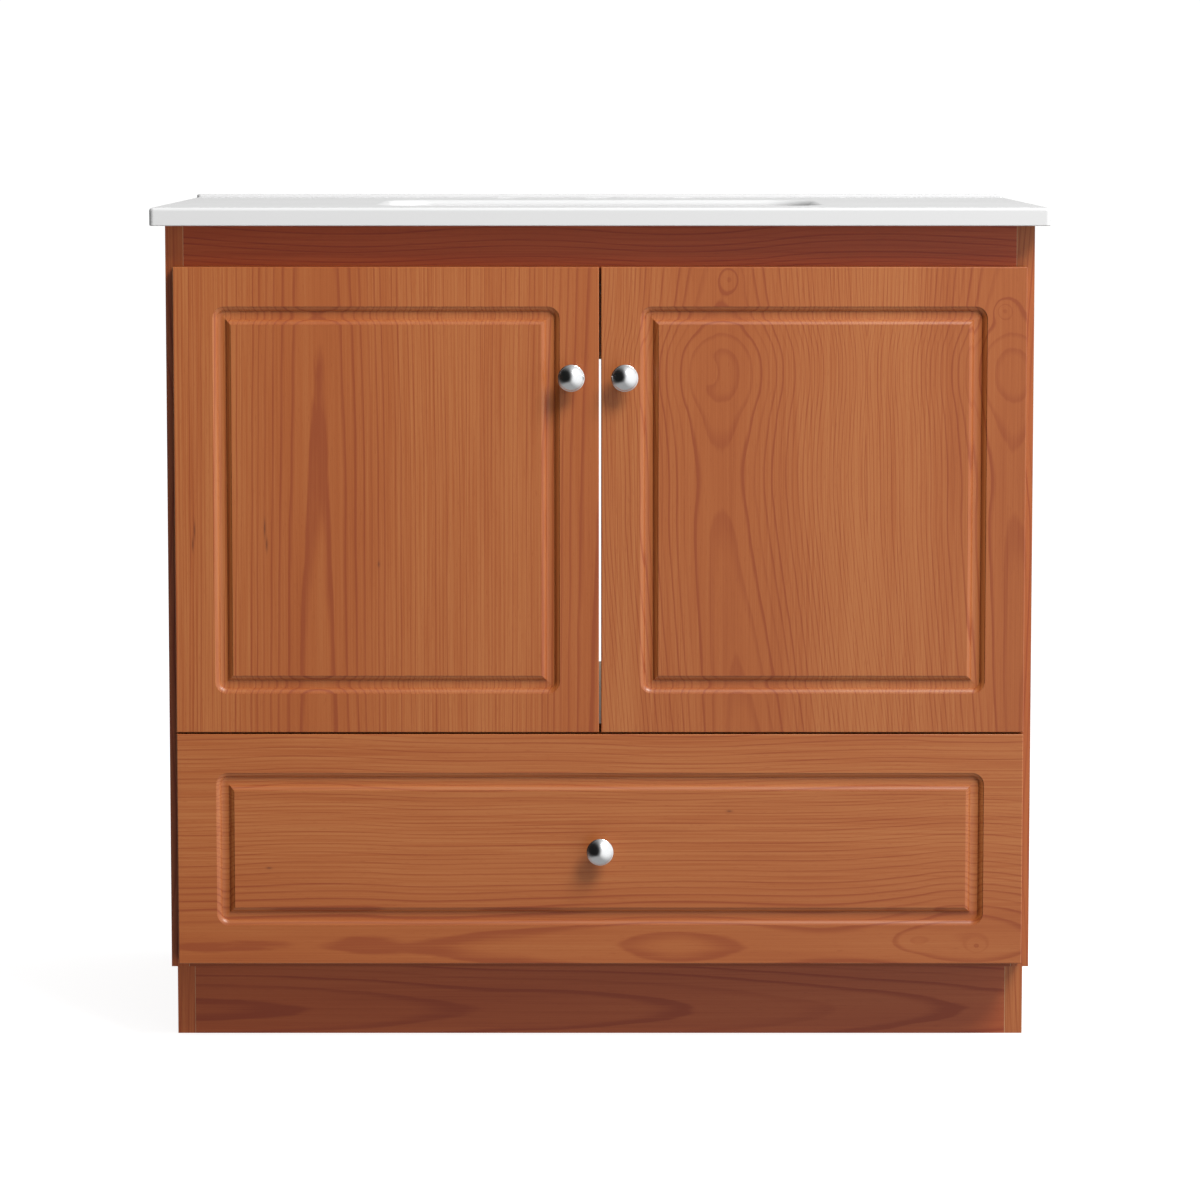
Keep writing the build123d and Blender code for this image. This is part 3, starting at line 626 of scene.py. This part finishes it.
def lay_up(boards, scene):
    for name, board in boards.items():
        paint([name], cherry(f"cherry_{name}", board, scene.vanity_cherry, scene.vanity_inside))


class VANITY_OT_fronts(bpy.types.Operator):
    """Lays up the cherry on the doors and the drawer front"""

    bl_idname = "vanity.fronts"
    bl_label = "Doors and drawer front"

    def execute(self, context):
        lay_up(FRONT_BOARDS, context.scene)
        return {"FINISHED"}


class VANITY_OT_case(bpy.types.Operator):
    """Lays up the cherry on the sides, the top rail and the toe board"""

    bl_idname = "vanity.case"
    bl_label = "Case"

    def execute(self, context):
        lay_up(CASE_BOARDS, context.scene)
        return {"FINISHED"}


class VANITY_OT_inside(bpy.types.Operator):
    """Finishes the maple shelves, drawer box and braces"""

    bl_idname = "vanity.inside"
    bl_label = "Maple inside"

    def execute(self, context):
        tones = context.scene.vanity_inside
        band = context.scene.vanity_cherry.latewood
        paint(MAPLE_ALONG_X, maple("maple_long", STRAIGHT, tones, band, 3.0))
        paint(MAPLE_ALONG_Y, maple("maple_deep", FRONT_TO_BACK, tones, band, 8.0))
        return {"FINISHED"}


class VANITY_OT_top(bpy.types.Operator):
    """Glazes the top and its basin"""

    bl_idname = "vanity.top"
    bl_label = "Top and basin"

    def execute(self, context):
        paint(["countertop_basin"], glazed(context.scene.vanity_top))
        return {"FINISHED"}


class VANITY_OT_knobs(bpy.types.Operator):
    """Turns the three knobs in chrome"""

    bl_idname = "vanity.knobs"
    bl_label = "Knobs"

    def execute(self, context):
        tones = context.scene.vanity_knobs
        chrome = polished(tones)
        for node, body in KNOBS.items():
            low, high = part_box(node)
            centre = ((low.x + high.x) / 2, high.y, (low.z + high.z) / 2)
            rim, reach = (high.x - low.x) / 2 / MM, (high.y - low.y) / MM
            mesh = turned(knob_outline(tones.foot / MM, rim, reach), centre)
            piece(f"turned_{node}", mesh, chrome, body, "polished_knob", node)
        return {"FINISHED"}


class VANITY_OT_hinges(bpy.types.Operator):
    """Plates the cups, arms and plates of the hinges"""

    bl_idname = "vanity.hinges"
    bl_label = "Hinges"

    def execute(self, context):
        nickel = plated("nickel_hinge", context.scene.vanity_hinges.nickel, (18, 1.2, 1.2), 0.24)
        paint([f"{part}_{side}" for part in HINGE_PARTS for side in SIDES], nickel)
        return {"FINISHED"}


# Where the rows of balls lie along a middle member, from its front or rear end
OUTER_ROW_START, OUTER_ROW_INSET = 225 * MM, 12 * MM
INNER_ROW_START, INNER_ROW_END = 10 * MM, 200 * MM


class VANITY_OT_slides(bpy.types.Operator):
    """Plates the drawer slides and loads them with balls, which roll on the middle members"""

    bl_idname = "vanity.slides"
    bl_label = "Drawer slides"

    def execute(self, context):
        settings = context.scene.vanity_slides
        rolled = plated("zinc_slide", settings.zinc, (1.0, 60, 1.0), 0.30)
        paint([f"{member}_{side}" for member in SLIDE_MEMBERS for side in SIDES], rolled)
        for side in SIDES:
            self.load(side, settings, rolled)
        return {"FINISHED"}

    def load(self, side, settings, rolled):
        """The outer rows run in the cabinet's member and the inner rows in the drawer's."""
        low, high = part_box(f"slide_middle_{side}")
        drawer_low, drawer_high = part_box(f"slide_drawer_{side}")
        cabinet_low, cabinet_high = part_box(f"slide_cabinet_{side}")
        middle_z = (low.z + high.z) / 2
        if low.x > 0:
            flange_tip, web, member_tip, cabinet_tip = low.x, high.x, drawer_high.x, cabinet_low.x
        else:
            flange_tip, web, member_tip, cabinet_tip = high.x, low.x, drawer_low.x, cabinet_high.x
        web_half, flange_thickness = 0.6 * MM, 1.2 * MM
        outer_rise = (cabinet_high.z + high.z) / 2 - middle_z - web_half
        inner_rise = (high.z - flange_thickness + drawer_high.z) / 2 - middle_z
        outer_y = (low.y + OUTER_ROW_START, high.y - OUTER_ROW_INSET)
        inner_y = (low.y + INNER_ROW_START, low.y + INNER_ROW_END)
        for row, x, rise, y_span in (("outer", (cabinet_tip + web) / 2, outer_rise, outer_y),
                                     ("inner", (flange_tip + member_tip) / 2, inner_rise, inner_y)):
            count = int((y_span[1] - y_span[0]) / settings.pitch)
            places = [(x, y_span[0] + settings.pitch * (i + 0.5), middle_z + up)
                      for i in range(count) for up in (-rise, rise)]
            loaded = {"balls": balls(places, settings.ball / 2),
                      "retainer": retainer(x, (middle_z - rise, middle_z + rise), y_span)}
            for name, mesh in loaded.items():
                piece(f"{name}_{row}_{side}", mesh, rolled, "slide_middles", "zinc_slide")


class VANITY_OT_fixings(bpy.types.Operator):
    """Plates the screws and finishes the bumpers"""

    bl_idname = "vanity.fixings"
    bl_label = "Screws and bumpers"

    def execute(self, context):
        settings = context.scene.vanity_fixings
        bright = plated("zinc_screw", settings.zinc, (0.8, 0.8, 0.8), 0.28)
        paint([name for name in NODES if "screw" in name], bright)
        paint([name for name in NODES if "bumpers" in name], rubbery(settings.bumper))
        return {"FINISHED"}


# Light from all round is stronger towards these: direction, where it starts and is full, and its share
LIGHTER = (((0.80, -0.55, 0.25), 0.10, 0.95, 2.1),
           ((0.1, -0.1, 1.0), 0.55, 1.0, 0.1),
           ((-0.55, 0.80, 0.25), 0.20, 0.95, 0.45))
# It is nearly black towards the dark side, except from below, where the floor throws light back
DARK_SIDE = ((-0.78, -0.62, 0.22), 0.25, 0.85)
BELOW = ((0.0, 0.0, -1.0), 0.45, 0.75)
DARKEST = 0.97
BACKDROP = 1.05               # strength of the plain white that the camera sees
FLOOR_GREY, FLOOR_GLOW, FLOOR_REACH = 0.35, 0.88, 12.0
KEY_BEARING, KEY_ELEVATION = math.radians(36), math.radians(45)
KEY_DISTANCE, KEY_SIZE = 5.0, 2.0
KEY_TARGET = (0.0, -0.2, 0.5)
LENS, SHIFT_Y, TILT = 129.6, -0.07, math.radians(5.395)


class VANITY_OT_studio(bpy.types.Operator):
    """Lays the pale floor, hangs the soft lamp and stands the camera"""

    bl_idname = "vanity.studio"
    bl_label = "Studio"

    def execute(self, context):
        look = context.scene.vanity_studio
        self.lay_floor()
        self.light(look)
        self.stand_camera(context.scene, look)
        context.scene.view_settings.view_transform = "Standard"
        return {"FINISHED"}

    def lay_floor(self):
        mesh = bpy.data.meshes.new("floor")
        near, far = -FLOOR_REACH, FLOOR_REACH
        corners = [(near, near, 0), (far, near, 0), (far, far, 0), (near, far, 0)]
        mesh.from_pydata(corners, [], [(0, 1, 2, 3)])
        floor = bpy.data.objects.new("floor", mesh)
        bpy.context.scene.collection.objects.link(floor)
        finish = Finish("pale_floor")
        mesh.materials.append(finish.surface(
            Base_Color=(FLOOR_GREY, FLOOR_GREY, FLOOR_GREY, 1.0), Roughness=0.9,
            Emission_Color=WHITE, Emission_Strength=FLOOR_GLOW, Specular_IOR_Level=0.0))
        floor.visible_diffuse = False
        floor.visible_glossy = False

    def light(self, look):
        world = bpy.data.worlds.new("studio")
        bpy.context.scene.world = world
        world.use_nodes = True
        sky = Finish("studio", world.node_tree)
        direction = sky.node("ShaderNodeTexCoord", output="Generated")

        def towards(point, starts, full):
            """0 away from a direction and 1 close to it, with a soft step between."""
            lean = sky.node("ShaderNodeVectorMath", {"operation": "DOT_PRODUCT"},
                            {0: direction, 1: Vector(point).normalized()}, output="Value")
            return sky.ramp(lean, starts, full)

        level = 1.0
        for point, starts, full, share in LIGHTER:
            level = level + share * towards(point, starts, full)
        level = look.ambient * level * (1.0 - DARKEST * towards(*DARK_SIDE) * (1.0 - towards(*BELOW)))
        seen = sky.node("ShaderNodeLightPath", output="Is Camera Ray")
        plain = sky.node("ShaderNodeBackground", inputs={"Color": WHITE, "Strength": BACKDROP})
        lamp = sky.node("ShaderNodeBackground", inputs={"Color": WHITE, "Strength": level})
        mixed = sky.node("ShaderNodeMixShader", inputs={0: seen, 1: lamp, 2: plain})
        sky.node("ShaderNodeOutputWorld", inputs={"Surface": mixed})

        data = bpy.data.lights.new("key_lamp", "AREA")
        data.shape = "DISK"
        data.size = KEY_SIZE
        data.energy = look.key_power
        key = bpy.data.objects.new("key_lamp", data)
        bpy.context.scene.collection.objects.link(key)
        flat = math.cos(KEY_ELEVATION) * KEY_DISTANCE
        key.location = (math.sin(KEY_BEARING) * flat, -math.cos(KEY_BEARING) * flat,
                        KEY_TARGET[2] + math.sin(KEY_ELEVATION) * KEY_DISTANCE)
        key.rotation_mode = "QUATERNION"
        key.rotation_quaternion = (Vector(KEY_TARGET) - key.location).to_track_quat("-Z", "Y")

    def stand_camera(self, scene, look):
        low, high = CAD_BOX
        data = bpy.data.cameras.new("camera")
        camera = bpy.data.objects.new("camera", data)
        scene.collection.objects.link(camera)
        camera.location = (0.0, low.y - look.camera_distance, high.z + look.camera_height)
        camera.rotation_euler = (math.radians(90) - TILT, 0.0, 0.0)
        data.lens = LENS
        data.shift_y = SHIFT_Y
        data.dof.use_dof = False
        scene.camera = camera


class VANITY_PT_panel(bpy.types.Panel):
    """Lists the cabinet's pieces and their settings"""

    bl_idname = "VANITY_PT_panel"
    bl_label = "Vanity cabinet"
    bl_space_type = "VIEW_3D"
    bl_region_type = "UI"
    bl_category = "Vanity"

    def draw(self, context):
        for step, name in STEPS:
            box = self.layout.box()
            box.operator(step.bl_idname)
            for key in SETTINGS[name].__annotations__ if name else ():
                box.prop(getattr(context.scene, name), key)


SETTINGS = {
    "vanity_cherry": VanityCherry,
    "vanity_inside": VanityInside,
    "vanity_top": VanityTop,
    "vanity_knobs": VanityKnobs,
    "vanity_hinges": VanityHinges,
    "vanity_slides": VanitySlides,
    "vanity_fixings": VanityFixings,
    "vanity_studio": VanityStudio,
}
# Each operator and the settings listed under it; the case shares the fronts' cherry
STEPS = (
    (VANITY_OT_fronts, "vanity_cherry"),
    (VANITY_OT_case, None),
    (VANITY_OT_inside, "vanity_inside"),
    (VANITY_OT_top, "vanity_top"),
    (VANITY_OT_knobs, "vanity_knobs"),
    (VANITY_OT_hinges, "vanity_hinges"),
    (VANITY_OT_slides, "vanity_slides"),
    (VANITY_OT_fixings, "vanity_fixings"),
    (VANITY_OT_studio, "vanity_studio"),
)
CLASSES = (*SETTINGS.values(), *(step for step, _ in STEPS), VANITY_PT_panel)


def register():
    for kind in CLASSES:
        bpy.utils.register_class(kind)
    for name, settings in SETTINGS.items():
        setattr(bpy.types.Scene, name, bpy.props.PointerProperty(type=settings))


def unregister():
    for name in SETTINGS:
        delattr(bpy.types.Scene, name)
    for kind in reversed(CLASSES):
        bpy.utils.unregister_class(kind)


def main():
    register()
    bpy.ops.vanity.fronts()
    bpy.ops.vanity.case()
    bpy.ops.vanity.inside()
    bpy.ops.vanity.top()
    bpy.ops.vanity.knobs()
    bpy.ops.vanity.hinges()
    bpy.ops.vanity.slides()
    bpy.ops.vanity.fixings()
    bpy.ops.vanity.studio()


if __name__ == "__main__":
    main()
